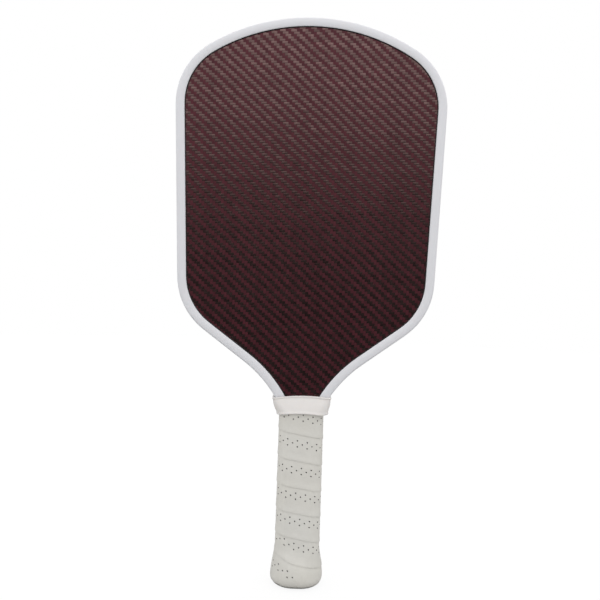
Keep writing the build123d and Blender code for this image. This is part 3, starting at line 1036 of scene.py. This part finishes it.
class PADDLE_OT_inside(bpy.types.Operator):
    """Finish the core, scrims, bond films, pallets and staples"""

    bl_idname = "paddle.inside"
    bl_label = "Inside layers"

    def execute(self, context):
        # Extruded polypropylene: milky white and waxy.
        core = plain_finish("polypropylene_honeycomb_extruded", "E2E1DC", 0.45, 900.0, 0.03 * MM)
        # Needled polyester veil: dull and woolly.
        scrim = plain_finish("polyester_veil_needled", "D8D7D2", 0.9, 1500.0, 0.10 * MM)
        # Cured epoxy film: amber with a low, wavy gloss.
        film = plain_finish("epoxy_film_cured", "A8935F", 0.25, 300.0, 0.02 * MM)
        # Moulded polyurethane foam: charcoal with a fine closed skin.
        pallet = plain_finish("polyurethane_foam_moulded", "2A2A2B", 0.7, 1100.0, 0.08 * MM)
        # Drawn steel wire: bright, with a very fine grain.
        wire = plain_finish("steel_wire_drawn", "A9A9A8", 0.3, 2200.0, 0.01 * MM, metallic=1.0)
        # Calendered vinyl: smooth white, half gloss.
        end_tape = plain_finish("vinyl_tape_calendered", "E8E8E6", 0.35, 700.0, 0.02 * MM)
        give("honeycomb_core", core)
        for side in ("front", "back"):
            give(f"core_scrim_{side}", scrim)
            give(f"bond_film_{side}", film)
            give(f"handle_pallet_{side}", pallet)
        give("butt_cap_staples", wire)
        give("grip_end_tape", end_tape)
        return {"FINISHED"}


class PADDLE_OT_guard(bpy.types.Operator):
    """Finish the edge guard and the adhesive bead inside it, whose black is partly painted shadow of the gap
    under the lip
    """

    bl_idname = "paddle.guard"
    bl_label = "Edge guard"

    def execute(self, context):
        give("edge_guard", extruded_guard_plastic())
        give("edge_adhesive", cured_adhesive())
        return {"FINISHED"}


class PADDLE_OT_butt_cap(bpy.types.Operator):
    """Finish the moulded butt cap"""

    bl_idname = "paddle.butt_cap"
    bl_label = "Butt cap"

    def execute(self, context):
        # Moulded ABS with a fine grain: warm grey, satin.
        give("butt_cap", plain_finish("abs_moulded_fine_grain", "BDBCB7", 0.45, 1600.0, 0.04 * MM))
        return {"FINISHED"}


class PADDLE_OT_grip_tape(bpy.types.Operator):
    """Wind the punched tape round the handle"""

    bl_idname = "paddle.grip_tape"
    bl_label = "Grip tape"

    def execute(self, context):
        bm = punched_tape(context.scene.paddle_grip)
        piece = finish_mesh(bm, "wound_tape", [tape_leather(), tape_felt()])
        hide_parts("grip_tape")
        # Both ends are cut on the slant, so that the wound tape starts and stops level.
        return {"FINISHED"}


class PADDLE_OT_collar(bpy.types.Operator):
    """Stretch the rubber collar over the throat"""

    bl_idname = "paddle.collar"
    bl_label = "Grip collar"

    def execute(self, context):
        bm = stretched_collar(context.scene.paddle_collar)
        piece = finish_mesh(bm, "collar_band", [collar_rubber()])
        subdivide = piece.modifiers.new("rounding", "SUBSURF")
        subdivide.levels = 1
        subdivide.render_levels = 1
        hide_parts("grip_collar")
        return {"FINISHED"}


class PADDLE_OT_studio(bpy.types.Operator):
    """Set the floor, the soft light and the camera"""

    bl_idname = "paddle.studio"
    bl_label = "Studio"

    def execute(self, context):
        studio = context.scene.paddle_studio
        make_floor()
        make_light(studio)
        make_camera(studio)
        context.scene.view_settings.view_transform = "Standard"
        return {"FINISHED"}


# Brightness of the soft sky to gloss, as (sine of the height above the horizon, level).
GLOSS_SKY = ((0.0, 0.07), (0.16, 0.1), (0.27, 0.66), (0.36, 1.0), (1.0, 1.0))
# Grey of the floor: to soft light, in the shadow that the eye sees on it, and to gloss.
FLOOR_PAINT = 0.44
FLOOR_SHADOW = 0.10
FLOOR_IN_GLOSS = 0.065
FLOOR_RADIUS = 3.0
FLOOR_RINGS = 24
FLOOR_SEGMENTS = 48
FLOOR_GAP = 0.0002


def make_floor():
    """Plain floor: white to the eye, mid grey to soft light and dark to gloss."""
    bm = bmesh.new()
    previous = [bm.verts.new((0, 0, 0))]
    for ring in range(1, FLOOR_RINGS + 1):
        radius = FLOOR_RADIUS * (ring / FLOOR_RINGS) ** 2
        circle = [
            bm.verts.new((radius * math.cos(a), radius * math.sin(a), 0))
            for a in (2 * math.pi * n / FLOOR_SEGMENTS for n in range(FLOOR_SEGMENTS))
        ]
        for n in range(FLOOR_SEGMENTS):
            m = (n + 1) % FLOOR_SEGMENTS
            if len(previous) == 1:
                bm.faces.new((previous[0], circle[n], circle[m]))
            else:
                bm.faces.new((previous[n], circle[n], circle[m], previous[m]))
        previous = circle
    mesh = bpy.data.meshes.new("floor")
    bm.to_mesh(mesh)
    bm.free()
    material = bpy.data.materials.new("floor_paint_matte_white")
    material.use_nodes = True
    tree = material.node_tree
    tree.nodes.clear()
    path = add(tree, "ShaderNodeLightPath")
    paint = add(tree, "ShaderNodeBsdfDiffuse", in_Color=(*[FLOOR_PAINT] * 3, 1))
    shaded = add(tree, "ShaderNodeBsdfDiffuse", in_Color=(*[FLOOR_SHADOW] * 3, 1))
    white = add(tree, "ShaderNodeEmission", in_Strength=1 - FLOOR_SHADOW)
    seen = add(tree, "ShaderNodeAddShader", [(0, shaded.outputs[0]), (1, white.outputs[0])])
    dark = add(tree, "ShaderNodeBsdfDiffuse", in_Color=(*[FLOOR_IN_GLOSS] * 3, 1))
    bounced = add(
        tree,
        "ShaderNodeMixShader",
        [(0, path.outputs["Is Glossy Ray"]), (1, paint.outputs[0]), (2, dark.outputs[0])],
    )
    mix = add(
        tree,
        "ShaderNodeMixShader",
        [(0, path.outputs["Is Camera Ray"]), (1, bounced.outputs[0]), (2, seen.outputs[0])],
    )
    add(tree, "ShaderNodeOutputMaterial", [("Surface", mix.outputs[0])])
    mesh.materials.append(material)
    floor = bpy.data.objects.new("floor", mesh)
    bpy.context.scene.collection.objects.link(floor)
    floor.location.z = cad_bounds[0][2] - FLOOR_GAP


def make_light(studio):
    """A white surround whose light comes from above: dark below the eye line to gloss."""
    world = bpy.data.worlds.new("studio_dome")
    bpy.context.scene.world = world
    world.use_nodes = True
    tree = world.node_tree
    tree.nodes.clear()
    direction = add(tree, "ShaderNodeTexCoord").outputs["Generated"]
    up = add(tree, "ShaderNodeSeparateXYZ", [(0, direction)]).outputs["Z"]
    gloss = add(tree, "ShaderNodeValToRGB", [(0, up)])
    ramp = gloss.color_ramp
    for element, (position, level) in zip(ramp.elements, (GLOSS_SKY[0], GLOSS_SKY[-1])):
        element.position = position
        element.color = (level, level, level, 1)
    for position, level in GLOSS_SKY[1:-1]:
        ramp.elements.new(position).color = (level, level, level, 1)
    path = add(tree, "ShaderNodeLightPath")
    lit = add(
        tree,
        "ShaderNodeMix",
        [(0, path.outputs["Is Glossy Ray"]), (7, gloss.outputs["Color"])],
        data_type="RGBA",
        in_6=(1, 1, 1, 1),
    ).outputs[2]
    dome = add(tree, "ShaderNodeBackground", [("Color", lit)], in_Strength=studio.dome)
    seen = add(tree, "ShaderNodeBackground", in_Color=(1, 1, 1, 1), in_Strength=1.0)
    mix = add(
        tree,
        "ShaderNodeMixShader",
        [(0, path.outputs["Is Camera Ray"]), (1, dome.outputs[0]), (2, seen.outputs[0])],
    )
    add(tree, "ShaderNodeOutputWorld", [("Surface", mix.outputs[0])])


def make_camera(studio):
    """Camera in front of the face at the studio settings' place, rolled a little."""
    data = bpy.data.cameras.new("camera")
    data.lens = studio.lens
    data.sensor_width = 36.0
    data.clip_start = 0.01
    data.dof.use_dof = False
    camera = bpy.data.objects.new("camera", data)
    bpy.context.scene.collection.objects.link(camera)
    roll = studio.camera_roll
    right = Vector((math.cos(roll), 0, math.sin(roll)))
    up = Vector((-math.sin(roll), 0, math.cos(roll)))
    back = right.cross(up)
    turned = Matrix((right, up, back)).transposed().to_4x4()
    place = Vector((-studio.camera_side, -studio.camera_distance, studio.camera_height))
    camera.matrix_world = Matrix.Translation(place) @ turned
    bpy.context.scene.camera = camera


class PADDLE_PT_panel(bpy.types.Panel):
    """Buttons that build each group of pieces"""

    bl_label = "Pickleball paddle"
    bl_idname = "PADDLE_PT_panel"
    bl_space_type = "VIEW_3D"
    bl_region_type = "UI"
    bl_category = "Paddle"

    def draw(self, context):
        scene = context.scene
        for settings in SETTINGS:
            group = getattr(scene, settings)
            box = self.layout.box()
            for name in group.__annotations__:
                box.prop(group, name)
        for operator in OPERATORS:
            self.layout.operator(operator.bl_idname)


SETTINGS = {
    "paddle_face": FaceSettings,
    "paddle_guard": GuardSettings,
    "paddle_grip": GripSettings,
    "paddle_collar": CollarSettings,
    "paddle_studio": StudioSettings,
}
OPERATORS = (
    PADDLE_OT_studio,
    PADDLE_OT_inside,
    PADDLE_OT_faces,
    PADDLE_OT_guard,
    PADDLE_OT_butt_cap,
    PADDLE_OT_grip_tape,
    PADDLE_OT_collar,
)


def register():
    for settings in SETTINGS.values():
        bpy.utils.register_class(settings)
    for name, settings in SETTINGS.items():
        setattr(bpy.types.Scene, name, PointerProperty(type=settings))
    for operator in OPERATORS:
        bpy.utils.register_class(operator)
    bpy.utils.register_class(PADDLE_PT_panel)


def unregister():
    bpy.utils.unregister_class(PADDLE_PT_panel)
    for operator in reversed(OPERATORS):
        bpy.utils.unregister_class(operator)
    for name, settings in SETTINGS.items():
        delattr(bpy.types.Scene, name)
        bpy.utils.unregister_class(settings)


def main():
    register()
    bpy.ops.paddle.studio()
    bpy.ops.paddle.inside()
    bpy.ops.paddle.faces()
    bpy.ops.paddle.guard()
    bpy.ops.paddle.butt_cap()
    bpy.ops.paddle.grip_tape()
    bpy.ops.paddle.collar()


if __name__ == "__main__":
    main()
